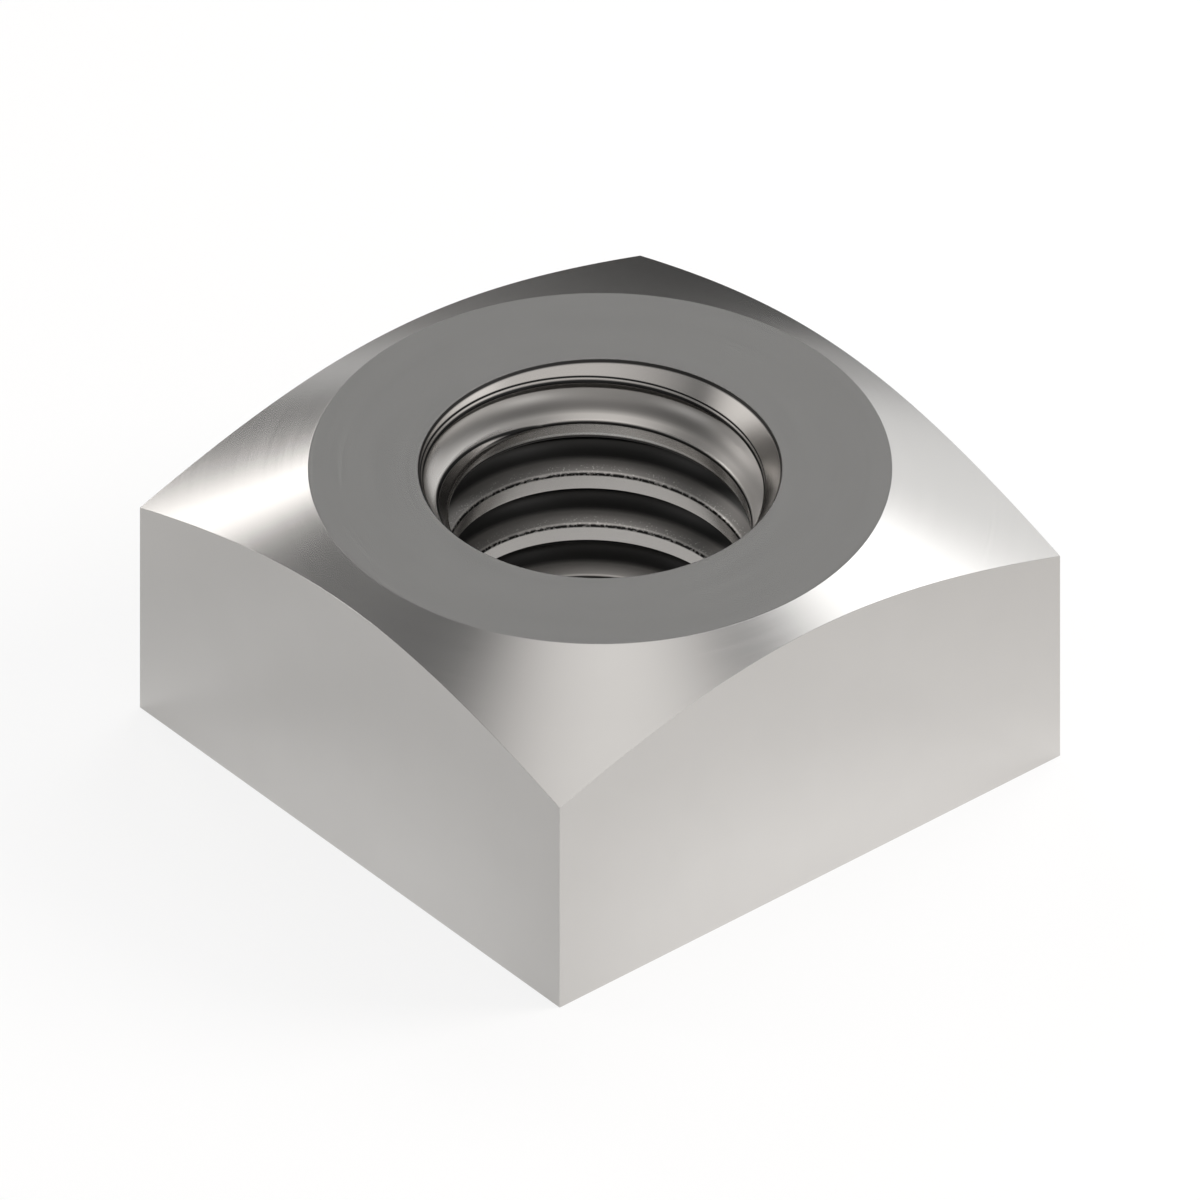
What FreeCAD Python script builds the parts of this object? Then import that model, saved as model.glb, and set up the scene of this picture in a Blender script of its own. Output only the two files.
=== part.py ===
import FreeCAD, Part
import math
import os

from FreeCAD import Placement, Rotation, Vector

# Square nut for a 5/16 inch bolt with 18 threads to the inch, forged and tapped as one piece of steel.
# Millimetres, +Z up. The origin is the middle of the bearing face, and the threaded hole runs along Z.
# X and Y are square to the four wrench flats.

# Square body with a turned crown
ACROSS_FLATS = 14.2875  # 9/16 inch
THICKNESS = 7.1882  # 0.283 inch
CROWN_INSET = 0.75  # from a wrench flat in to the edge of the flat ring on top
CROWN_ANGLE = 25.0  # slope of the conical chamfer below the top face, in degrees

# Thread: right-hand, single start
MAJOR_DIAMETER = 7.9375  # 5/16 inch
PITCH = 1.41111  # 18 threads to the inch
THREAD_ANGLE = 60.0  # between the two flanks of a groove, in degrees
ENGAGEMENT = 0.714  # share of the full thread height that the drilled hole leaves for the tap
PITCH_ALLOWANCE = 0.12  # pitch diameter above its basic size
CREST_BEARING = 50.0  # direction from +X towards +Y, in degrees, in which CREST_DEPTH is measured
CREST_DEPTH = 1.43  # from the top face down to the middle of the first whole crest

# Countersink at each mouth of the hole
COUNTERSINK_ANGLE = 60.0  # across the cone, in degrees
COUNTERSINK_MARGIN = 0.03  # rim diameter above the major diameter

# How far a cutter runs past the surface that it cuts
OVERRUN = 0.5

# The form of the thread, from the full height of its sharp triangle
FLANK_SLOPE = math.tan(math.radians(THREAD_ANGLE / 2))
SHARP_HEIGHT = PITCH / 2 / FLANK_SLOPE
DRILL_DIAMETER = MAJOR_DIAMETER - 1.5 * SHARP_HEIGHT * ENGAGEMENT
PITCH_DIAMETER = MAJOR_DIAMETER - 0.75 * SHARP_HEIGHT + PITCH_ALLOWANCE

ORIGIN = Vector(0, 0, 0)
UP = Vector(0, 0, 1)


def section(points):
    """A flat face in the XZ plane through points given as (radius, height)."""
    corners = [Vector(radius, 0, height) for radius, height in points]
    return Part.Face(Part.makePolygon(corners + corners[:1]))


def square_body():
    """The square bar's section, standing on the bearing face."""
    corner = Vector(-ACROSS_FLATS / 2, -ACROSS_FLATS / 2, 0)
    return Part.makeBox(ACROSS_FLATS, ACROSS_FLATS, THICKNESS, corner)


def crown():
    """The cone that the four corners are turned down to, with the round flat ring as its top."""
    ring_radius = ACROSS_FLATS / 2 - CROWN_INSET
    spread = THICKNESS / math.tan(math.radians(CROWN_ANGLE))
    return Part.makeCone(ring_radius + spread, ring_radius, THICKNESS)


def drilled_hole():
    """The drilled hole with its two countersinks, as a solid.

    It is turned a quarter at a time, so each stretch of thread crest is a short arc of its own.
    """
    slope = math.tan(math.radians(COUNTERSINK_ANGLE / 2))
    drill_radius = DRILL_DIAMETER / 2
    rim_radius = (MAJOR_DIAMETER + COUNTERSINK_MARGIN) / 2
    depth = (rim_radius - drill_radius) / slope
    outer_radius = rim_radius + OVERRUN * slope
    half_outline = [
        (0, -OVERRUN),
        (outer_radius, -OVERRUN),
        (drill_radius, depth),
        (drill_radius, THICKNESS - depth),
        (outer_radius, THICKNESS + OVERRUN),
        (0, THICKNESS + OVERRUN),
    ]
    quarters = [section(half_outline).revolve(ORIGIN, UP, 90) for _ in range(4)]
    for number, quarter in enumerate(quarters):
        quarter.Placement = Placement(ORIGIN, Rotation(UP, 90 * number))
    return quarters[0].multiFuse(quarters[1:])


def groove_half_width(radius):
    """Half the height of the thread groove at this radius, between its two straight flanks."""
    return PITCH / 4 + (PITCH_DIAMETER / 2 - radius) * FLANK_SLOPE


def groove_start():
    """Height of the groove's middle where it crosses +X, between one and two pitches below the bearing face."""
    crest = THICKNESS - CREST_DEPTH - PITCH * CREST_BEARING / 360
    return (crest + PITCH / 2) % PITCH - 2 * PITCH


def groove_quarter():
    """A quarter turn of the thread groove, from +X to +Y, swept along its helix.

    Its flanks run on past the crests, inwards, for half of the way to where they would meet.
    """
    crest_radius = DRILL_DIAMETER / 2
    root_radius = MAJOR_DIAMETER / 2
    crest_flat = PITCH - 2 * groove_half_width(crest_radius)
    inner_radius = crest_radius - crest_flat / 4 / FLANK_SLOPE
    inner = groove_half_width(inner_radius)
    root = groove_half_width(root_radius)
    outline = [(inner_radius, -inner), (root_radius, -root), (root_radius, root), (inner_radius, inner)]
    helix = Part.makeHelix(PITCH, PITCH / 4, root_radius)
    return helix.makePipeShell([section(outline).OuterWire], True, True)


def thread_groove():
    """The one continuous groove between the crests, climbing through both faces in quarter turns."""
    start = groove_start()
    climb = THICKNESS + PITCH / 2 - start
    quarters = [groove_quarter() for _ in range(math.ceil(4 * climb / PITCH))]
    for number, quarter in enumerate(quarters):
        quarter.Placement = Placement(UP * (start + number * PITCH / 4), Rotation(UP, 90 * number))
    return quarters[0].multiFuse(quarters[1:])


def square_nut():
    """The finished nut: the crowned body, drilled and countersunk, then tapped."""
    blank = square_body().common(crown())
    tapped = blank.cut(drilled_hole()).cut(thread_groove())
    return tapped.Solids[0]


os.makedirs("parts", exist_ok=True)
square_nut().exportStep("parts/square_nut.step")
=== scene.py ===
"""The looks of the square nut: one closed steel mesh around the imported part, on a pale studio floor."""

import math

import bpy
import numpy as np
from bpy.props import FloatProperty, FloatVectorProperty, IntProperty, PointerProperty
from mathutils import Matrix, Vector


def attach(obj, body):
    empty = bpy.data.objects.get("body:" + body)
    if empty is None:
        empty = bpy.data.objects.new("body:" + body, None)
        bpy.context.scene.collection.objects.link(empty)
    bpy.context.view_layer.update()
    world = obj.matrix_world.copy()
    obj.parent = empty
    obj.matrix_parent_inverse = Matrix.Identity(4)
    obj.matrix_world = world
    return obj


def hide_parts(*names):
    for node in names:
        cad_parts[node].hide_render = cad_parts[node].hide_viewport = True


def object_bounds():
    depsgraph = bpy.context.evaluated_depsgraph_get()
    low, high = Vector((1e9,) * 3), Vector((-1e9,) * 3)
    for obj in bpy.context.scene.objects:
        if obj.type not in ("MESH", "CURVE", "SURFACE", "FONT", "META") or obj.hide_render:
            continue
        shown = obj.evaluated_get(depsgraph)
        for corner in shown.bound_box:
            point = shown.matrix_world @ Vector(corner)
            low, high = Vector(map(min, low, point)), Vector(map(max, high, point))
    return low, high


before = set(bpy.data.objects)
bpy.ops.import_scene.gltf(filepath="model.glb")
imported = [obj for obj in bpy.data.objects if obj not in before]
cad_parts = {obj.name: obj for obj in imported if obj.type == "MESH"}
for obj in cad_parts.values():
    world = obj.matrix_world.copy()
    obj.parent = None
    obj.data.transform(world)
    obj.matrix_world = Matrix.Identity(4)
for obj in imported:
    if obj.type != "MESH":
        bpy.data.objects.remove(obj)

bl_info = {
    "name": "Square nut",
    "version": (1, 0, 0),
    "blender": (4, 5, 0),
    "location": "3D View > Sidebar > Square nut",
    "description": "Builds a tapped square nut in bare steel, and a plain studio for it",
    "category": "Add Mesh",
}

CAD_LOW, CAD_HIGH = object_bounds()


# Sizes and colours that a user can change


class NutSizes(bpy.types.PropertyGroup):
    """Sizes of the nut, as in the part's source, and how finely its mesh follows them."""

    across_flats: FloatProperty(
        name="Across flats", description="Width between two opposite wrench flats",
        default=CAD_HIGH.x - CAD_LOW.x, min=0.001, precision=5, unit="LENGTH", subtype="DISTANCE",
    )
    thickness: FloatProperty(
        name="Thickness", description="Height from the bearing face to the top ring",
        default=CAD_HIGH.z - CAD_LOW.z, min=0.001, precision=5, unit="LENGTH", subtype="DISTANCE",
    )
    crown_inset: FloatProperty(
        name="Crown inset", description="From a wrench flat in to the edge of the flat ring on top",
        default=0.00075, min=0.0, precision=5, unit="LENGTH", subtype="DISTANCE",
    )
    crown_angle: FloatProperty(
        name="Crown angle", description="Slope of the conical chamfer below the top face",
        default=math.radians(25), min=0.1, max=1.0, unit="ROTATION", subtype="ANGLE",
    )
    major_diameter: FloatProperty(
        name="Major diameter", description="Diameter of the thread at the root of its groove",
        default=0.0079375, min=0.001, precision=5, unit="LENGTH", subtype="DISTANCE",
    )
    crest_diameter: FloatProperty(
        name="Crest diameter", description="Diameter of the drilled hole, which is left as the crests",
        default=0.0066287, min=0.001, precision=5, unit="LENGTH", subtype="DISTANCE",
    )
    pitch_diameter: FloatProperty(
        name="Pitch diameter", description="Diameter at which groove and crest are equally wide",
        default=0.007141, min=0.001, precision=5, unit="LENGTH", subtype="DISTANCE",
    )
    pitch: FloatProperty(
        name="Pitch", description="Climb of the thread in one turn",
        default=0.00141111, min=0.0002, precision=5, unit="LENGTH", subtype="DISTANCE",
    )
    thread_angle: FloatProperty(
        name="Thread angle", description="Angle between the two flanks of the groove",
        default=math.radians(60), min=0.3, max=1.6, unit="ROTATION", subtype="ANGLE",
    )
    crest_bearing: FloatProperty(
        name="Crest bearing", description="Where the crest depth is measured, from +X towards +Y",
        default=math.radians(50), unit="ROTATION", subtype="ANGLE",
    )
    crest_depth: FloatProperty(
        name="Crest depth", description="From the top face down to the middle of the first whole crest",
        default=0.00143, min=0.0, precision=5, unit="LENGTH", subtype="DISTANCE",
    )
    countersink_angle: FloatProperty(
        name="Countersink angle", description="Angle across the cone at each mouth of the hole",
        default=math.radians(60), min=0.3, max=2.4, unit="ROTATION", subtype="ANGLE",
    )
    rim_diameter: FloatProperty(
        name="Rim diameter", description="Diameter of the countersink at the top and bottom faces",
        default=0.0079675, min=0.001, precision=5, unit="LENGTH", subtype="DISTANCE",
    )
    outer_rounding: FloatProperty(
        name="Outer rounding", description="Setback of the rounded outer edges",
        default=0.00001, min=0.000005, precision=6, unit="LENGTH", subtype="DISTANCE",
    )
    ring_rounding: FloatProperty(
        name="Ring rounding", description="Setback of the rounded edge round the flat ring on top",
        default=0.000002, min=0.000001, precision=6, unit="LENGTH", subtype="DISTANCE",
    )
    rim_rounding: FloatProperty(
        name="Rim rounding", description="Setback of the rounded rims of the hole",
        default=0.000014, min=0.000005, precision=6, unit="LENGTH", subtype="DISTANCE",
    )
    thread_rounding: FloatProperty(
        name="Thread rounding", description="How far the edges of the thread are rounded off",
        default=0.00004, min=0.00001, precision=6, unit="LENGTH", subtype="DISTANCE",
    )
    root_rounding: FloatProperty(
        name="Root rounding", description="How far the groove's flanks curve into its root",
        default=0.0004, min=0.00001, precision=6, unit="LENGTH", subtype="DISTANCE",
    )
    columns: IntProperty(
        name="Columns", description="Even steps of the mesh round the hole, a multiple of eight",
        default=288, min=64, max=320, step=8,
    )
    rows_per_pitch: IntProperty(
        name="Rows per pitch", description="Rows of the mesh along one pitch of the thread",
        default=46, min=16, max=50,
    )


class SteelLook(bpy.types.PropertyGroup):
    """Colour and finish of the steel."""

    colour: FloatVectorProperty(
        name="Colour", description="Colour of the bare steel",
        default=(0.63, 0.62, 0.606), min=0.0, max=1.0, size=3, subtype="COLOR",
    )
    roughness: FloatProperty(
        name="Roughness", description="Mean roughness of the satin surface",
        default=0.22, min=0.0, max=1.0, subtype="FACTOR",
    )
    thread_colour: FloatVectorProperty(
        name="Thread colour", description="Colour of the steel inside the hole",
        default=(0.64, 0.619, 0.595), min=0.0, max=1.0, size=3, subtype="COLOR",
    )
    # Colour of the shade painted into the groove of the thread and along its dark lines
    painted_shade: FloatVectorProperty(
        name="Residue", description="Colour of the dried cutting oil that is left in the thread",
        default=(0.025, 0.025, 0.025), min=0.0, max=1.0, size=3, subtype="COLOR",
    )
    grain_depth: FloatProperty(
        name="Grain depth", description="Height of the finest tool marks",
        default=0.00000006, min=0.0, precision=8, unit="LENGTH", subtype="DISTANCE",
    )


class StudioLook(bpy.types.PropertyGroup):
    """Floor and camera of the studio."""

    floor_colour: FloatVectorProperty(
        name="Floor colour", description="Colour of the pale floor",
        default=(0.9, 0.9, 0.9), min=0.0, max=1.0, size=3, subtype="COLOR",
    )
    floor_glow: FloatProperty(
        name="Floor glow", description="Share of the floor's white that does not depend on the lamps",
        default=0.34, min=0.0, max=1.0, subtype="FACTOR",
    )
    floor_white: FloatProperty(
        name="Floor white", description="Further share of that white, which only the camera sees",
        default=0.48, min=0.0, max=1.0, subtype="FACTOR",
    )
    floor_radius: FloatProperty(
        name="Floor radius", description="Radius of the round floor",
        default=0.6, min=0.05, unit="LENGTH", subtype="DISTANCE",
    )
    view_bearing: FloatProperty(
        name="View bearing", description="Direction of the camera round the nut, from -Y",
        default=math.radians(-40), unit="ROTATION", subtype="ANGLE",
    )
    view_elevation: FloatProperty(
        name="View elevation", description="Height of the camera above the horizon",
        default=math.radians(36.9), unit="ROTATION", subtype="ANGLE",
    )
    view_width: FloatProperty(
        name="View width", description="Width of the camera's parallel view",
        default=0.02624, min=0.001, precision=5, unit="LENGTH", subtype="DISTANCE",
    )


# The nut's mesh. Its points lie in columns round the hole, and in rows that go from the bearing face over
# the sides and the crown to the top ring, and from there down the wall of the hole.

# Bearings of the closer columns over an upright edge, as shares of the way to where its rounding ends
EDGE_COLUMNS = -2.0, -1.0, -0.6, -0.3, 0.0, 0.3, 0.6, 1.0, 2.0
BEARING_DECIMALS = 9  # columns whose bearings agree so far are one

# Rows on each outer face, as shares of the way across it
BEARING_FACE_ROWS = 0.02, 0.5, 0.98
SIDE_ROWS = 0.33, 0.67
CROWN_ROWS = 0.25, 0.5, 0.75
TOP_RING_ROWS = 0.33, 0.67
SPARE_ROWS = 2  # on the wall of the hole, beyond the last one that is needed

# Steps in height and bearing over which the slope of the wall is taken
HEIGHT_STEP = 1e-7
BEARING_STEP = 1e-5

# Finishes, and how fast their marks change: drawn along Z over X, Y and Z; turned and tapped round the
# hole, over the angle, the radius and Z
DRAWN, TURNED, TAPPED = range(3)
MARK_SCALES = {DRAWN: (14000, 14000, 600), TURNED: (1.5, 16000, 9000), TAPPED: (2.0, 9000, 16000)}

# Shade painted into the thread, by the distance out from the crests: a thin shade from just outside them,
# and darker shade further out, of which some is taken off again towards the root
THIN_SHADE_REACH = 0.00001, 0.00008
SHADE_LIFT_REACH = 0.00038, 0.00054

# Near the mouths of the hole and deep inside: the thin shade's share of the colour, the share further out,
# the distances between which that sets in, and how much of it is taken off. Deep inside, the painted shade is
# darker.
MOUTH_SHADE = {"thin_shade": 0.2, "amount": 0.75, "reach": (0.0001, 0.00033), "lifted": 0.3}
DEEP_SHADE = {"thin_shade": 0.58, "amount": 0.97, "reach": (0.00012, 0.0004), "lifted": 0.0}
SHADE_DEPTHS = 0.0012, 0.0018  # from one to the other, below a mouth
SHADED_SIDE = math.radians(45)  # bearing of the side on which the painted shade near the mouths is darkest
SHADED_SIDE_POWER = 3  # how quickly it fades towards the other side
SHADE_EDGE = 0.00002  # how far the painted shade fades in and out on each side of a lip


def unit(vectors):
    """Vectors scaled to a length of one."""
    return vectors / np.linalg.norm(vectors, axis=-1, keepdims=True)


def round_max(first, second, width):
    """The larger of two values, rounded off where they come within the width of each other."""
    overlap = np.maximum(width - np.abs(first - second), 0)
    return np.maximum(first, second) + overlap**2 / (4 * width)


def smooth_step(value, start, end):
    """Nothing up to the start, then smoothly up to one at the end."""
    share = np.clip((value - start) / (end - start), 0, 1)
    return share * share * (3 - 2 * share)


def column_bearings(sizes):
    """Directions of the mesh's columns: even steps, and closer ones over the four upright edges."""
    half = sizes.across_flats / 2
    reach = math.pi / 4 - math.atan2(half - sizes.outer_rounding, half)
    steps = reach * np.array(EDGE_COLUMNS)
    edges = [math.pi / 4 + quarter * math.pi / 2 + steps for quarter in range(4)]
    even = np.arange(sizes.columns) * 2 * math.pi / sizes.columns
    return np.unique(np.round(np.concatenate([even, *edges]), BEARING_DECIMALS))


def side_outline(sizes, bearings):
    """Radius of the rounded square at each bearing, and the direction that its surface faces."""
    half = sizes.across_flats / 2
    rounding = sizes.outer_rounding
    centre = half - rounding
    away = (bearings + math.pi / 4) % (math.pi / 2) - math.pi / 4
    turn = np.abs(away)
    along = centre * (np.cos(turn) + np.sin(turn))
    on_corner = turn > math.atan2(centre, half)
    reach = np.sqrt(np.maximum(rounding**2 - 2 * centre**2 + along**2, 0))
    radius = np.where(on_corner, along + reach, half / np.cos(turn))
    corner_facing = np.arctan2(radius * np.sin(turn) - centre, radius * np.cos(turn) - centre)
    facing = bearings - away + np.where(on_corner, np.sign(away) * corner_facing, 0)
    return radius, facing


def flank_radius(sizes, bearings, heights):
    """Radius of the straight flanks of the nearest turn of the groove."""
    pitch = sizes.pitch
    turn = (bearings - sizes.crest_bearing) / (2 * math.pi)
    middle = sizes.thickness - sizes.crest_depth - pitch / 2 + pitch * turn
    offset = (heights - middle + pitch / 2) % pitch - pitch / 2
    return sizes.pitch_diameter / 2 + (pitch / 4 - np.abs(offset)) / math.tan(sizes.thread_angle / 2)


def thread_radius(sizes, bearings, heights):
    """Radius of the tapped hole before it is countersunk, at each bearing and height."""
    flank = flank_radius(sizes, bearings, heights)
    wall = -round_max(-flank, np.full_like(flank, -sizes.major_diameter / 2), sizes.root_rounding)
    return round_max(wall, np.full_like(flank, sizes.crest_diameter / 2), sizes.thread_rounding)


def sink_radii(sizes, heights):
    """Radii of the upper and the lower countersink, carried on through the nut."""
    slope = math.tan(sizes.countersink_angle / 2)
    rim = sizes.rim_diameter / 2
    return rim - (sizes.thickness - heights) * slope, rim - heights * slope


def hole_radius(sizes, bearings, heights):
    """Radius of the tapped hole, with its two countersinks, at each bearing and height."""
    upper, lower = sink_radii(sizes, heights)
    wall = thread_radius(sizes, bearings, heights)
    return round_max(round_max(wall, upper, sizes.thread_rounding), lower, sizes.thread_rounding)


def hole_normals(sizes, bearings, heights):
    """The way that the wall of the hole faces, as vectors."""
    radius = hole_radius(sizes, bearings, heights)
    above = hole_radius(sizes, bearings, heights + HEIGHT_STEP)
    below = hole_radius(sizes, bearings, heights - HEIGHT_STEP)
    ahead = hole_radius(sizes, bearings + BEARING_STEP, heights)
    behind = hole_radius(sizes, bearings - BEARING_STEP, heights)
    rise = (above - below) / (2 * HEIGHT_STEP)
    across = (ahead - behind) / (2 * BEARING_STEP) / radius
    cos, sin = np.cos(bearings), np.sin(bearings)
    return unit(np.stack([-cos - across * sin, -sin + across * cos, rise], axis=-1))


def sink_depth(sizes, bearings, heights):
    """How far a countersink reaches past the tapped hole, and negative where it ends short of it."""
    return np.maximum(*sink_radii(sizes, heights)) - thread_radius(sizes, bearings, heights)


def lip_rise(sizes, bearings, heights):
    """Height above the nearest lip, where a countersink ends in the thread, and negative in the thread."""
    above = sink_depth(sizes, bearings, heights + HEIGHT_STEP)
    below = sink_depth(sizes, bearings, heights - HEIGHT_STEP)
    slope = np.abs(above - below) / (2 * HEIGHT_STEP)
    return sink_depth(sizes, bearings, heights) / np.maximum(slope, math.tan(sizes.countersink_angle / 2))


def painted_shade_share(distance, thin_shade, amount, reach, lifted):
    """Share of the colour that the painted shade takes at a distance out from the crests."""
    rest = amount * smooth_step(distance, *reach) - lifted * smooth_step(distance, *SHADE_LIFT_REACH)
    return np.maximum(thin_shade * smooth_step(distance, *THIN_SHADE_REACH), rest)


def painted_shade_amount(sizes, bearings, heights):
    """How much shade is painted into the groove: less near the mouths of the hole, and there most on one
    side.
    """
    tapped = smooth_step(-sink_depth(sizes, bearings, heights), -SHADE_EDGE, SHADE_EDGE)
    distance = thread_radius(sizes, bearings, heights) - sizes.crest_diameter / 2
    side = (0.5 + 0.5 * np.cos(bearings - SHADED_SIDE)) ** SHADED_SIDE_POWER
    near = painted_shade_share(distance, **MOUTH_SHADE) * side
    deep = painted_shade_share(distance, **DEEP_SHADE)
    inside = np.minimum(heights, sizes.thickness - heights)
    return tapped * (near + (deep - near) * smooth_step(inside, *SHADE_DEPTHS))


class Outline:
    """Rows of points and normals, one point for each column, in order round the nut's section."""

    def __init__(self, bearings):
        self.cos, self.sin = np.cos(bearings), np.sin(bearings)
        self.points, self.normals, self.finishes = [], [], []
        self.painted_shade, self.rise = [], []

    def facing(self, outward, upward):
        """A normal in each column's own plane."""
        full = np.ones_like(self.cos)
        return unit(np.stack([self.cos * outward, self.sin * outward, full * upward], axis=-1))

    def row(self, radius, height, normals, finish, painted_shade=0.0, rise=1.0):
        """Adds a row. The finish is that of the faces between this row and the next."""
        full = np.ones_like(self.cos)
        self.points.append(np.stack([self.cos * radius, self.sin * radius, full * height], axis=-1))
        self.normals.append(normals)
        self.finishes.append(finish)
        self.painted_shade.append(full * painted_shade)
        self.rise.append(full * rise)

    def edge(self, corner, before, after, normals, finishes, steps=4):
        """Adds a rounded edge: a curve past the corner, between points given as moves from it."""
        for t in np.linspace(0, 1, steps + 1):
            shares = (1 - t) ** 2, t**2
            radius = corner[0] + shares[0] * before[0] + shares[1] * after[0]
            height = corner[1] + shares[0] * before[1] + shares[1] * after[1]
            blend = unit((1 - t) * normals[0] + t * normals[1])
            self.row(radius, height, blend, finishes[0] if t < 0.5 else finishes[1])


def outer_rows(outline, sizes, bearings):
    """Adds the rows from the bearing face, over the sides and the crown, to the flat ring on top."""
    top = sizes.thickness
    rounding = sizes.outer_rounding
    slope = math.tan(sizes.crown_angle)
    fall = np.array([math.cos(sizes.crown_angle), -math.sin(sizes.crown_angle)])
    ring = sizes.across_flats / 2 - sizes.crown_inset
    rim = sizes.rim_diameter / 2
    side, facing = side_outline(sizes, bearings)
    shrink = side * rounding / (sizes.across_flats / 2)
    side_top = top - (side - ring) * slope
    down, up = outline.facing(0, -1), outline.facing(0, 1)
    outward = np.stack([np.cos(facing), np.sin(facing), np.zeros_like(facing)], axis=-1)
    crown = outline.facing(-fall[1], fall[0])

    for share in BEARING_FACE_ROWS:
        outline.row(rim + (side - rim) * share, 0, down, TURNED)
    outline.edge((side, 0), (-shrink, 0), (0, rounding), (down, outward), (TURNED, DRAWN))
    for share in SIDE_ROWS:
        outline.row(side, side_top * share, outward, DRAWN)
    outline.edge((side, side_top), (0, -rounding), -fall * rounding, (outward, crown), (DRAWN, TURNED))
    for share in CROWN_ROWS:
        radius = side + (ring - side) * share
        outline.row(radius, top - (radius - ring) * slope, crown, TURNED)
    before, after = fall * sizes.ring_rounding, (-sizes.ring_rounding, 0)
    outline.edge((ring, top), before, after, (crown, up), (TURNED, TURNED))
    for share in TOP_RING_ROWS:
        outline.row(ring + (rim - ring) * share, top, up, TURNED)


def rim_edge(outline, sizes, bearings, level, at_top):
    """Adds the rounded rim between a face and the wall of the hole, which starts at this level."""
    height = sizes.thickness if at_top else 0
    levels = np.full_like(bearings, level)
    radius = hole_radius(sizes, bearings, levels)
    normals = hole_normals(sizes, bearings, levels)
    lean = math.tan(sizes.countersink_angle / 2)
    corner = (radius + abs(height - level) * lean, height)
    on_face = (sizes.rim_rounding, 0)
    on_wall = (radius - corner[0], level - height)
    if at_top:
        outline.edge(corner, on_face, on_wall, (outline.facing(0, 1), normals), (TAPPED, TAPPED))
    else:
        outline.edge(corner, on_wall, on_face, (normals, outline.facing(0, -1)), (TAPPED, TAPPED))


def wall_levels(sizes, low, high):
    """Heights of the wall's rows at bearing zero, from the top down, a whole number to each pitch."""
    step = sizes.pitch / sizes.rows_per_pitch
    count = math.ceil((high - low + sizes.pitch) / step) + SPARE_ROWS
    return high + step / 2 - np.arange(count) * step


def wall_rows(outline, sizes, bearings, low, high):
    """Adds the rows of the wall, which climb with the thread between two heights, and gives their heights."""
    climb = sizes.pitch * bearings / (2 * math.pi)
    rows = [np.clip(level + climb, low, high) for level in wall_levels(sizes, low, high)]
    for heights in rows:
        radius = hole_radius(sizes, bearings, heights)
        normals = hole_normals(sizes, bearings, heights)
        # Shade painted into the groove, kept at each point
        painted_shade = painted_shade_amount(sizes, bearings, heights)
        outline.row(radius, heights, normals, TAPPED, painted_shade, lip_rise(sizes, bearings, heights))
    return np.array(rows)


def joined_points(outline, sizes, first, heights, low, high):
    """Numbers of the points in each row, and of their neighbours in the next column.

    The wall's rows start at the first and have these heights. Where one has run out through a mouth of the
    hole, its points are the rim's. After a whole turn, it goes on as the row one pitch above it.
    """
    rows, columns = len(outline.points), len(outline.cos)
    points = np.arange(rows * columns).reshape(rows, columns)
    end = first + len(heights)
    wall = points[first:end]
    for run_out, rim in ((heights >= high, points[first - 1]), (heights <= low, points[end])):
        wall[run_out] = np.broadcast_to(rim, wall.shape)[run_out]
    beside = np.roll(points, -1, axis=1)
    above = np.arange(len(heights)) - sizes.rows_per_pitch
    beside[first:end, -1] = np.where(above < 0, points[first - 1, 0], wall[np.maximum(above, 0), 0])
    return points, beside


def faces_between(points, beside, row_finishes):
    """The faces between each row and the next, without those that have no area, and their finishes."""
    faces, finishes = [], []
    for row, finish in enumerate(row_finishes):
        following = (row + 1) % len(points)
        for corners in zip(points[row], beside[row], beside[following], points[following]):
            loop = list(dict.fromkeys(int(corner) for corner in corners))
            if len(loop) > 2:
                faces.append(loop)
                finishes.append(finish)
    return faces, finishes


def used_points(faces):
    """The points that the faces use, and the faces by their places in that list."""
    used, packed = np.unique(np.concatenate([np.array(loop) for loop in faces]), return_inverse=True)
    ends = np.cumsum([len(loop) for loop in faces])
    return used, [packed[end - len(loop) : end].tolist() for loop, end in zip(faces, ends)]


def nut_surface(sizes):
    """Points, normals, painted shade, rise above the lips, faces and the finish of each face of the whole
    nut.
    """
    bearings = column_bearings(sizes)
    low, high = sizes.rim_rounding, sizes.thickness - sizes.rim_rounding
    outline = Outline(bearings)
    outer_rows(outline, sizes, bearings)
    rim_edge(outline, sizes, bearings, high, True)
    first = len(outline.points)
    heights = wall_rows(outline, sizes, bearings, low, high)
    rim_edge(outline, sizes, bearings, low, False)
    points, beside = joined_points(outline, sizes, first, heights, low, high)
    faces, finishes = faces_between(points, beside, outline.finishes)
    used, faces = used_points(faces)
    kept = [np.concatenate(rows)[used] for rows in
            (outline.points, outline.normals, outline.painted_shade, outline.rise)]
    return *kept, faces, finishes


# The steel

# Tool marks and soft clouds in the steel, and what they do to its tone and its roughness
MARK_DETAIL = 3.0
CLOUD_SCALE, CLOUD_DETAIL = 700.0, 2.0
MARK_TONES = 0.974, 1.012
CLOUD_TONES = -0.01, 0.03
MARK_ROUGHNESS = -0.02, 0.02
SHADE_ROUGHNESS = 0.0, 0.3, 0.14  # amounts of painted shade over which extra roughness sets in, and how much it adds

# Lines of painted shade in the hole, and a painted highlight: where each starts and ends, and its strength.
# The first is placed by the depth below a mouth of the hole, the lip lines by the rise above a lip, and the
# others
# by the height above the middle of a crest, as shares of the pitch. The last two are there only near the
# mouths:
# shade along the lower edge of each crest, and a highlight just above it.
RIM_LINE = -0.00001, 0.00007, 0.97
LIP_LINE = -0.00001, 0.00007, 1.0
FINE_LIP_LINE = 0.0001, 0.00014, 1.0
CREST_LINE = 0.107, 0.158, 0.97
UNDER_LINE = -0.165, -0.1, 0.92
PAINTED_HIGHLIGHT_LINE = -0.092, -0.058, 1.0
# Colour of the painted highlight line and of the bare specks
SPECK_AND_HIGHLIGHT_COLOUR = 0.9, 0.89, 0.87

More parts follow.
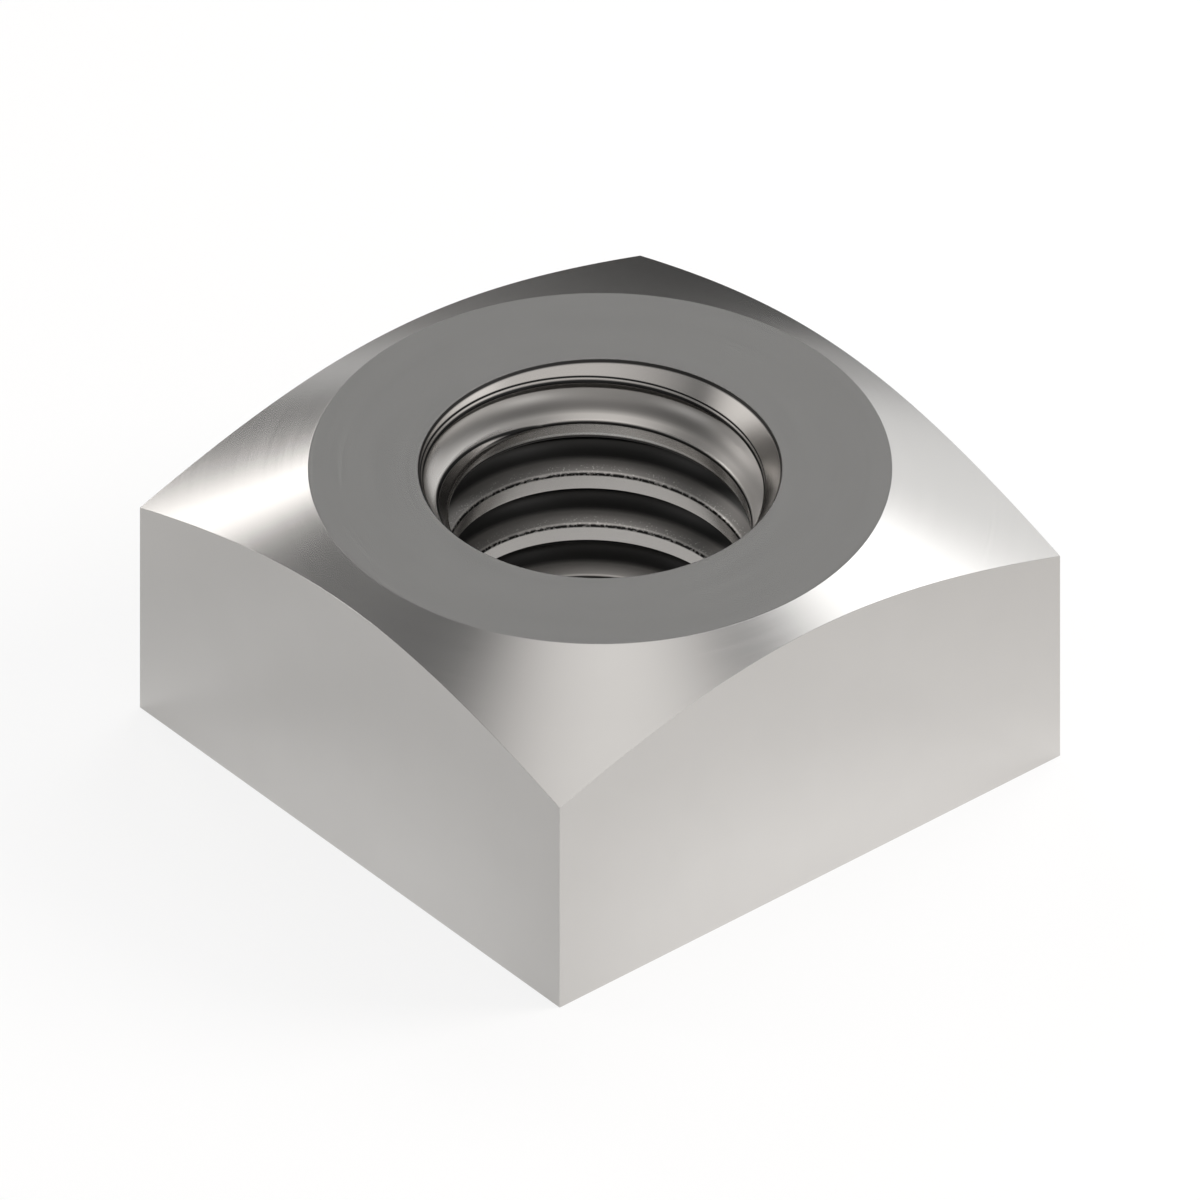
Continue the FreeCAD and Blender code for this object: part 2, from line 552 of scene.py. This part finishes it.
# Shares of the pitch, from the middle of a crest towards the mouth of the hole, over which the lip lines set
# in: the fine one only beyond the crest, and the other on both sides of it
BEYOND_CREST = -0.05, -0.13
BEFORE_CREST = 0.06, 0.12

# Deep in the hole the tap left bare specks just above the crests, in a band given like the crests' own line,
# and gaps in that line. Both set in over these depths below a mouth. Each has the scale of its noise, the
# values of the noise over which it sets in, and its strength.
SPECK_BAND = 0.15, 0.22, 0.55
SPECK_DEPTHS = 0.0019, 0.0023
SPECK_NOISE, SPECK_SHOWS = 26000.0, (0.64, 0.69, 1.0)
GAP_NOISE, GAP_SHOWS = 12000.0, (0.52, 0.6, 0.42)


def link(tree, source, target):
    """Joins two sockets."""
    tree.links.new(source, target)


def math_node(tree, operation, *values, clamp=False):
    """A math node fed by sockets or numbers, and its result."""
    node = tree.nodes.new("ShaderNodeMath")
    node.operation = operation
    node.use_clamp = clamp
    for socket, value in zip(node.inputs, values):
        if isinstance(value, (int, float)):
            socket.default_value = value
        else:
            link(tree, value, socket)
    return node.outputs[0]


def vector_node(tree, operation, first, second=None):
    """A vector math node fed by one or two sockets, and its result."""
    node = tree.nodes.new("ShaderNodeVectorMath")
    node.operation = operation
    link(tree, first, node.inputs[0])
    if second is not None:
        link(tree, second, node.inputs[1])
    return node.outputs["Value" if operation == "LENGTH" else "Vector"]


def dot_node(tree, vector, fixed, label=""):
    """How far a vector from a socket goes in a fixed direction."""
    node = tree.nodes.new("ShaderNodeVectorMath")
    node.operation = "DOT_PRODUCT"
    node.label = label
    link(tree, vector, node.inputs[0])
    node.inputs[1].default_value = fixed
    return node.outputs["Value"]


def coordinates(tree, kind="Object"):
    """The place of each point in the object's own frame, or for a world the direction of the ray."""
    return tree.nodes.new("ShaderNodeTexCoord").outputs[kind]


def split_node(tree, vector):
    """The three parts of a vector."""
    node = tree.nodes.new("ShaderNodeSeparateXYZ")
    link(tree, vector, node.inputs[0])
    return node.outputs


def map_node(tree, value, low, high):
    """A value from 0 to 1, spread from low to high."""
    node = tree.nodes.new("ShaderNodeMapRange")
    link(tree, value, node.inputs["Value"])
    node.inputs["To Min"].default_value = low
    node.inputs["To Max"].default_value = high
    return node.outputs["Result"]


def fade(tree, value, start, end, strength):
    """Nothing up to the start, then smoothly up to the full strength at the end."""
    node = tree.nodes.new("ShaderNodeMapRange")
    node.interpolation_type = "SMOOTHSTEP"
    link(tree, value, node.inputs["Value"])
    node.inputs["From Min"].default_value = start
    node.inputs["From Max"].default_value = end
    node.inputs["To Min"].default_value = 0
    node.inputs["To Max"].default_value = strength
    return node.outputs["Result"]


def between(tree, value, start, end, strength):
    """Full strength between the start and the end, and nothing further than a quarter of the way outside."""
    soft = (end - start) / 4
    rising = fade(tree, value, start - soft, start + soft, strength)
    falling = fade(tree, value, end - soft, end + soft, 1.0)
    return math_node(tree, "MULTIPLY", rising, math_node(tree, "SUBTRACT", 1.0, falling))


def noise_node(tree, place, scale, detail):
    """Smooth noise from 0 to 1."""
    node = tree.nodes.new("ShaderNodeTexNoise")
    node.inputs["Scale"].default_value = scale
    node.inputs["Detail"].default_value = detail
    link(tree, place, node.inputs["Vector"])
    return node.outputs["Fac"]


def attribute_node(tree, name):
    """A value that the mesh keeps at each of its points."""
    node = tree.nodes.new("ShaderNodeAttribute")
    node.attribute_name = name
    return node.outputs["Fac"]


def scaled_colour(tree, colour, factor):
    """A colour made lighter or darker by a factor."""
    node = tree.nodes.new("ShaderNodeVectorMath")
    node.operation = "SCALE"
    node.inputs[0].default_value = colour
    link(tree, factor, node.inputs["Scale"])
    return node.outputs[0]


def mixed_colour(tree, factor, first, second):
    """A colour from a socket, blended into a fixed one."""
    node = tree.nodes.new("ShaderNodeMix")
    node.data_type = "RGBA"
    link(tree, factor, node.inputs["Factor"])
    link(tree, first, node.inputs["A"])
    node.inputs["B"].default_value = (*second, 1)
    return node.outputs["Result"]


def marks_along(tree, finish):
    """Coordinates that run fast across the tool marks of this finish and slowly along them."""
    x, y, z = split_node(tree, coordinates(tree))
    join = tree.nodes.new("ShaderNodeCombineXYZ")
    if finish == DRAWN:
        sources = (x, y, z)
    else:
        squares = [math_node(tree, "MULTIPLY", side, side) for side in (x, y)]
        radius = math_node(tree, "SQRT", math_node(tree, "ADD", *squares))
        sources = (math_node(tree, "ARCTAN2", y, x), radius, z)
    for source, scale, target in zip(sources, MARK_SCALES[finish], join.inputs):
        link(tree, math_node(tree, "MULTIPLY", source, scale), target)
    return join.outputs[0]


def crest_offset(tree, sizes):
    """Height from the middle of the nearest crest, as a share of the pitch, and from the bearing face."""
    x, y, z = split_node(tree, coordinates(tree))
    bearing = math_node(tree, "ARCTAN2", y, x)
    turn = math_node(tree, "DIVIDE", math_node(tree, "SUBTRACT", bearing, sizes.crest_bearing), 2 * math.pi)
    crest = sizes.thickness - sizes.crest_depth
    pitches = math_node(tree, "DIVIDE", math_node(tree, "SUBTRACT", z, crest), sizes.pitch)
    return math_node(tree, "WRAP", math_node(tree, "SUBTRACT", pitches, turn), 0.5, -0.5), z


def hole_painted_shade(tree, sizes):
    """Painted shade in the groove and along the dark lines, and a painted highlight line together with bare
    specks.
    """
    amount = attribute_node(tree, "painted_shade")
    rise = attribute_node(tree, "rise")
    offset, z = crest_offset(tree, sizes)
    middle = math_node(tree, "SUBTRACT", z, sizes.thickness / 2)
    depth = math_node(tree, "SUBTRACT", sizes.thickness / 2, math_node(tree, "ABSOLUTE", middle))
    tapped = math_node(tree, "LESS_THAN", rise, 0.0)
    towards_mouth = math_node(tree, "MULTIPLY", offset, math_node(tree, "SIGN", middle))
    beyond_crest = fade(tree, towards_mouth, *BEYOND_CREST, 1.0)
    off_crest = math_node(tree, "MAXIMUM", beyond_crest, fade(tree, towards_mouth, *BEFORE_CREST, 1.0))

    place = coordinates(tree)
    inside = fade(tree, depth, *SPECK_DEPTHS, 1.0)
    gaps = fade(tree, noise_node(tree, place, GAP_NOISE, 1.0), *GAP_SHOWS)
    gaps = math_node(tree, "MULTIPLY", inside, gaps)
    unbroken = math_node(tree, "MULTIPLY", tapped, math_node(tree, "SUBTRACT", 1.0, gaps))
    # Painted shade along the rim, the lips and the upper edges of the crests
    amount = math_node(tree, "MAXIMUM", amount, between(tree, depth, *RIM_LINE))
    for value, line, share in (
        (rise, LIP_LINE, off_crest), (rise, FINE_LIP_LINE, beyond_crest), (offset, CREST_LINE, unbroken),
    ):
        line = math_node(tree, "MULTIPLY", between(tree, value, *line), share)
        amount = math_node(tree, "MAXIMUM", amount, line)

    specks = fade(tree, noise_node(tree, place, SPECK_NOISE, 1.0), *SPECK_SHOWS)
    specks = math_node(tree, "MULTIPLY", specks, between(tree, offset, *SPECK_BAND))
    specks = math_node(tree, "MULTIPLY", specks, inside)
    amount = math_node(tree, "MULTIPLY", amount, math_node(tree, "SUBTRACT", 1.0, specks))
    near_mouth = math_node(tree, "MULTIPLY", tapped, math_node(tree, "SUBTRACT", 1.0, inside))
    # Near the mouths: painted shade along each crest's lower edge, and a painted highlight just above it
    under = math_node(tree, "MULTIPLY", between(tree, offset, *UNDER_LINE), near_mouth)
    amount = math_node(tree, "MAXIMUM", amount, under)
    specks_and_highlight = math_node(tree, "MULTIPLY", between(tree, offset, *PAINTED_HIGHLIGHT_LINE), near_mouth)
    return amount, math_node(tree, "MAXIMUM", specks_and_highlight, specks)


def steel_material(name, finish, look, sizes):
    """Bare steel with the fine marks of its finish, and in the thread also with painted shade, a painted
    highlight line and bare specks.
    """
    material = bpy.data.materials.new(name)
    material.use_nodes = True
    material.diffuse_color = (*look.colour, 1)
    tree = material.node_tree
    shader = tree.nodes["Principled BSDF"]
    shader.inputs["Metallic"].default_value = 1.0
    marks = noise_node(tree, marks_along(tree, finish), 1.0, MARK_DETAIL)
    clouds = noise_node(tree, coordinates(tree), CLOUD_SCALE, CLOUD_DETAIL)
    tone = math_node(tree, "ADD", map_node(tree, marks, *MARK_TONES), map_node(tree, clouds, *CLOUD_TONES))
    colour = scaled_colour(tree, look.thread_colour if finish == TAPPED else look.colour, tone)
    roughness = math_node(tree, "ADD", map_node(tree, marks, *MARK_ROUGHNESS), look.roughness)
    if finish == TAPPED:
        # The painted highlight line and the bare specks lighten the colour, and the painted shade darkens it
        painted_shade, specks_and_highlight = hole_painted_shade(tree, sizes)
        colour = mixed_colour(tree, specks_and_highlight, colour, SPECK_AND_HIGHLIGHT_COLOUR)
        colour = mixed_colour(tree, painted_shade, colour, look.painted_shade)
        roughness = math_node(tree, "ADD", roughness, fade(tree, painted_shade, *SHADE_ROUGHNESS))
    link(tree, colour, shader.inputs["Base Color"])
    link(tree, roughness, shader.inputs["Roughness"])
    bump = tree.nodes.new("ShaderNodeBump")
    bump.inputs["Distance"].default_value = look.grain_depth
    link(tree, marks, bump.inputs["Height"])
    link(tree, bump.outputs[0], shader.inputs["Normal"])
    return material


class MESH_OT_square_nut(bpy.types.Operator):
    """Builds the square nut with its thread"""

    bl_idname = "mesh.square_nut"
    bl_label = "Square nut"

    def execute(self, context):
        sizes = context.scene.nut_sizes
        steel = context.scene.steel_look
        points, normals, painted_shade, rise, faces, finishes = nut_surface(sizes)
        mesh = bpy.data.meshes.new("tapped_square_nut")
        mesh.from_pydata(points.tolist(), [], faces)
        for name, finish in (("Drawn steel", DRAWN), ("Turned steel", TURNED), ("Tapped steel", TAPPED)):
            mesh.materials.append(steel_material(name, finish, steel, sizes))
        mesh.polygons.foreach_set("material_index", finishes)
        mesh.polygons.foreach_set("use_smooth", [True] * len(faces))
        mesh.update()
        # The thread's painted shade is kept at each point of the mesh
        for name, values in (("painted_shade", painted_shade), ("rise", rise)):
            mesh.attributes.new(name, "FLOAT", "POINT").data.foreach_set("value", values)
        mesh.normals_split_custom_set_from_vertices(normals.tolist())
        nut = bpy.data.objects.new("tapped_square_nut", mesh)
        context.scene.collection.objects.link(nut)
        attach(nut, "root")
        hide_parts("square_nut")
        return {"FINISHED"}


# The studio

FLOOR_CORNERS = 128
FLOOR_GAP = 2e-6  # below the bearing face

# A painted pool of light on the floor, which only metal and glass see: its white, above or below one, in the
# middle, and how it changes on the way out, each time between two distances
PAINTED_POOL_MIDDLE = 0.25
PAINTED_POOL_CHANGES = ((0.004, 0.007, 0.13), (0.0075, 0.0125, -0.69), (0.0105, 0.021, -0.62))

# Soft lights of the room: name, bearing from +X towards +Y and elevation of its middle, the angles from
# there at which it starts and ends to fade, all in degrees, its strength, and whether it is a warm one
ROOM_LIGHTS = (
    ("Ceiling", -119, 83, 0, 25, 0.98, True),
    ("Tall light, upper half", 20.5, 50.8, 0, 22.2, 2.96, False),
    ("Tall light, lower half", 19, 21.6, 0, 30.7, 0.83, False),
    ("Side light", 72.6, 30.3, 8, 11, 5.0, True),
    ("Low light", 64, 3.8, 0, 6.2, 0.43, False),
    ("Front wall", 256, 5.6, 17.4, 94.6, 0.53, True),
    ("Left wall", 128, 1, 2, 41, 0.94, True),
    ("Left window", 123.7, 42.8, 5.8, 7.6, 3.8, True),
    ("Right wall", -42, -1.8, 12.3, 38.6, 0.51, True),
    ("Opposite tall light", 175, 40, 0, 18, 0.9, False),
    ("Opposite side light", 285, 40, 2, 15, 1.1, False),
)
ROOM_GREY = 0.154
WARM_WHITE = 1.0, 0.975, 0.955
WHITE = 1.0, 1.0, 1.0
HORIZON = 0.006, 0.003  # heights of a ray of length one, between which the background turns white

# A large soft lamp: bearing and elevation in degrees, distance, size, power and colour
KEY_DIRECTION = -33, 35
KEY_DISTANCE = 0.2
KEY_SIZE = 0.1
KEY_POWER = 0.27
KEY_COLOUR = 1.0, 0.95, 0.91

# A dark card on the floor that only mirrors see, a painted reflection in the metal: the bearing of its foot
# from the nut and its distance, the bearing along it, how far it reaches either way and up, its grey, and how
# much paler it gets between two places along it
CARD_BEARING, CARD_DISTANCE = 50, 0.022
CARD_ALONG = -40
CARD_REACH = -0.0095, 0.0165
CARD_HEIGHT = 0.00605
CARD_GREY = 0.05
CARD_PALER = 0.003, -0.0095, 0.2

CAMERA_DISTANCE = 0.1
CAMERA_SEES = 0.001, 10  # nearest and furthest


def direction(bearing, elevation):
    """Unit vector for a bearing from +X towards +Y and an elevation, in degrees."""
    turn, rise = math.radians(bearing), math.radians(elevation)
    return Vector((math.cos(turn) * math.cos(rise), math.sin(turn) * math.cos(rise), math.sin(rise)))


def background_rays(tree):
    """One for the rays that show a background: the camera's, and those off metal and through glass."""
    paths = tree.nodes.new("ShaderNodeLightPath")
    seen = math_node(tree, "ADD", paths.outputs["Is Camera Ray"], paths.outputs["Is Glossy Ray"])
    return math_node(tree, "ADD", seen, paths.outputs["Is Transmission Ray"], clamp=True)


def floor_material(studio):
    """A pale paint. Camera, mirror and glass rays also see its own white, so it shows in the metal too.
    Mirror and glass rays also see a painted pool of light in it, bright round the nut and dim further out.
    """
    material = bpy.data.materials.new("Pale floor")
    material.use_nodes = True
    tree = material.node_tree
    tree.nodes.clear()
    output = tree.nodes.new("ShaderNodeOutputMaterial")
    paint = tree.nodes.new("ShaderNodeBsdfDiffuse")
    paint.inputs["Color"].default_value = (*studio.floor_colour, 1)
    glow = tree.nodes.new("ShaderNodeEmission")
    camera_ray = tree.nodes.new("ShaderNodeLightPath").outputs["Is Camera Ray"]
    distance = vector_node(tree, "LENGTH", coordinates(tree))
    # Painted pool of light, which the camera does not see
    painted_pool = PAINTED_POOL_MIDDLE
    for start, end, change in PAINTED_POOL_CHANGES:
        painted_pool = math_node(tree, "ADD", fade(tree, distance, start, end, change), painted_pool)
    painted_pool = math_node(tree, "MULTIPLY", painted_pool, math_node(tree, "SUBTRACT", 1.0, camera_ray))
    link(tree, math_node(tree, "ADD", painted_pool, 1.0), glow.inputs["Strength"])
    white = math_node(tree, "MULTIPLY", camera_ray, studio.floor_white)
    seen = math_node(tree, "MULTIPLY", background_rays(tree), studio.floor_glow)
    mix = tree.nodes.new("ShaderNodeMixShader")
    link(tree, math_node(tree, "ADD", seen, white), mix.inputs[0])
    link(tree, paint.outputs[0], mix.inputs[1])
    link(tree, glow.outputs[0], mix.inputs[2])
    link(tree, mix.outputs[0], output.inputs["Surface"])
    return material


def lay_floor(context, studio):
    """A round pale floor."""
    turns = [2 * math.pi * number / FLOOR_CORNERS for number in range(FLOOR_CORNERS)]
    radius = studio.floor_radius
    corners = [(radius * math.cos(turn), radius * math.sin(turn), -FLOOR_GAP) for turn in turns]
    mesh = bpy.data.meshes.new("floor")
    mesh.from_pydata(corners, [], [list(range(FLOOR_CORNERS))])
    mesh.materials.append(floor_material(studio))
    floor = bpy.data.objects.new("floor", mesh)
    context.scene.collection.objects.link(floor)


def light_world(context):
    """A grey room with soft round lights, and white below the horizon, where the floor has ended."""
    world = bpy.data.worlds.new("Studio room")
    world.use_nodes = True
    tree = world.node_tree
    background = tree.nodes["Background"]
    place = coordinates(tree, "Generated")
    totals = {False: ROOM_GREY, True: 0.0}
    for name, bearing, elevation, inner, outer, strength, warm in ROOM_LIGHTS:
        nearness = dot_node(tree, place, direction(bearing, elevation), name)
        ends = math.cos(math.radians(outer)), math.cos(math.radians(inner))
        totals[warm] = math_node(tree, "ADD", fade(tree, nearness, *ends, strength), totals[warm])
    colour = scaled_colour(tree, WHITE, totals[False])
    colour = vector_node(tree, "ADD", colour, scaled_colour(tree, WARM_WHITE, totals[True]))
    below = fade(tree, split_node(tree, place)[2], *HORIZON, 1.0)
    below = math_node(tree, "MULTIPLY", below, background_rays(tree))
    link(tree, mixed_colour(tree, below, colour, WHITE), background.inputs["Color"])
    background.inputs["Strength"].default_value = 1.0
    context.scene.world = world


def hang_key(context):
    """A large soft lamp behind the nut, which gives the floor its shadow. The metal does not mirror it."""
    lamp = bpy.data.lights.new("Key lamp", "AREA")
    lamp.shape = "DISK"
    lamp.size = KEY_SIZE
    lamp.energy = KEY_POWER
    lamp.color = KEY_COLOUR
    key = bpy.data.objects.new("Key lamp", lamp)
    away = direction(*KEY_DIRECTION)
    key.location = away * KEY_DISTANCE
    key.rotation_mode = "QUATERNION"
    key.rotation_quaternion = away.to_track_quat("Z", "Y")
    key.visible_glossy = False
    context.scene.collection.objects.link(key)


def stand_card(context):
    """A low dark card on the floor behind the nut, paler towards one end, which only mirrors see: a painted
    dark reflection in the metal.
    """
    along = direction(CARD_ALONG, 0)
    foot = direction(CARD_BEARING, 0) * CARD_DISTANCE
    (left, right), top = CARD_REACH, CARD_HEIGHT
    corners = [foot + along * across + Vector((0, 0, up))
               for across, up in ((left, 0), (right, 0), (right, top), (left, top))]
    mesh = bpy.data.meshes.new("dark_card")
    mesh.from_pydata(corners, [], [(0, 1, 2, 3)])
    material = bpy.data.materials.new("Dark card")
    material.use_nodes = True
    tree = material.node_tree
    shader = tree.nodes["Principled BSDF"]
    across = dot_node(tree, coordinates(tree), along)
    tone = math_node(tree, "ADD", fade(tree, across, *CARD_PALER), CARD_GREY)
    link(tree, scaled_colour(tree, WHITE, tone), shader.inputs["Base Color"])
    shader.inputs["Roughness"].default_value = 1.0
    mesh.materials.append(material)
    card = bpy.data.objects.new("dark_card", mesh)
    # Seen only by mirrors, the card is a painted dark reflection
    card.visible_camera = card.visible_diffuse = card.visible_shadow = False
    context.scene.collection.objects.link(card)


def place_camera(context, studio):
    """A camera with a parallel view of the nut's middle."""
    camera = bpy.data.objects.new("Camera", bpy.data.cameras.new("Camera"))
    camera.data.type = "ORTHO"
    camera.data.ortho_scale = studio.view_width
    camera.data.clip_start, camera.data.clip_end = CAMERA_SEES
    rise, turn = studio.view_elevation, studio.view_bearing
    back = Vector((math.sin(turn) * math.cos(rise), -math.cos(turn) * math.cos(rise), math.sin(rise)))
    camera.location = (CAD_LOW + CAD_HIGH) / 2 + back * CAMERA_DISTANCE
    camera.rotation_mode = "QUATERNION"
    camera.rotation_quaternion = back.to_track_quat("Z", "Y")
    context.scene.collection.objects.link(camera)
    context.scene.camera = camera


class SCENE_OT_nut_studio(bpy.types.Operator):
    """Lays the floor, lights it and sets up the camera"""

    bl_idname = "scene.nut_studio"
    bl_label = "Studio"

    def execute(self, context):
        studio = context.scene.studio_look
        context.scene.view_settings.view_transform = "Standard"
        lay_floor(context, studio)
        light_world(context)
        hang_key(context)
        stand_card(context)
        place_camera(context, studio)
        return {"FINISHED"}


# The panel, and the script as a whole


class VIEW3D_PT_square_nut(bpy.types.Panel):
    """The nut's sizes, its steel and its studio, with the buttons that build them."""

    bl_label = "Square nut"
    bl_space_type = "VIEW_3D"
    bl_region_type = "UI"
    bl_category = "Square nut"

    def draw(self, context):
        scene = context.scene
        for title, group, operator in (
            ("Sizes", scene.nut_sizes, MESH_OT_square_nut.bl_idname),
            ("Steel", scene.steel_look, None),
            ("Studio", scene.studio_look, SCENE_OT_nut_studio.bl_idname),
        ):
            box = self.layout.box()
            box.label(text=title)
            for name in group.__annotations__:
                box.prop(group, name)
            if operator:
                box.operator(operator)


CLASSES = (NutSizes, SteelLook, StudioLook, MESH_OT_square_nut, SCENE_OT_nut_studio, VIEW3D_PT_square_nut)


def register():
    """Makes the sizes, the operators and the panel known to Blender."""
    for item in CLASSES:
        bpy.utils.register_class(item)
    bpy.types.Scene.nut_sizes = PointerProperty(type=NutSizes)
    bpy.types.Scene.steel_look = PointerProperty(type=SteelLook)
    bpy.types.Scene.studio_look = PointerProperty(type=StudioLook)


def unregister():
    """Takes them out again."""
    del bpy.types.Scene.studio_look
    del bpy.types.Scene.steel_look
    del bpy.types.Scene.nut_sizes
    for item in reversed(CLASSES):
        bpy.utils.unregister_class(item)


def main():
    """Builds the nut and its studio."""
    register()
    bpy.ops.mesh.square_nut()
    bpy.ops.scene.nut_studio()


if __name__ == "__main__":
    main()
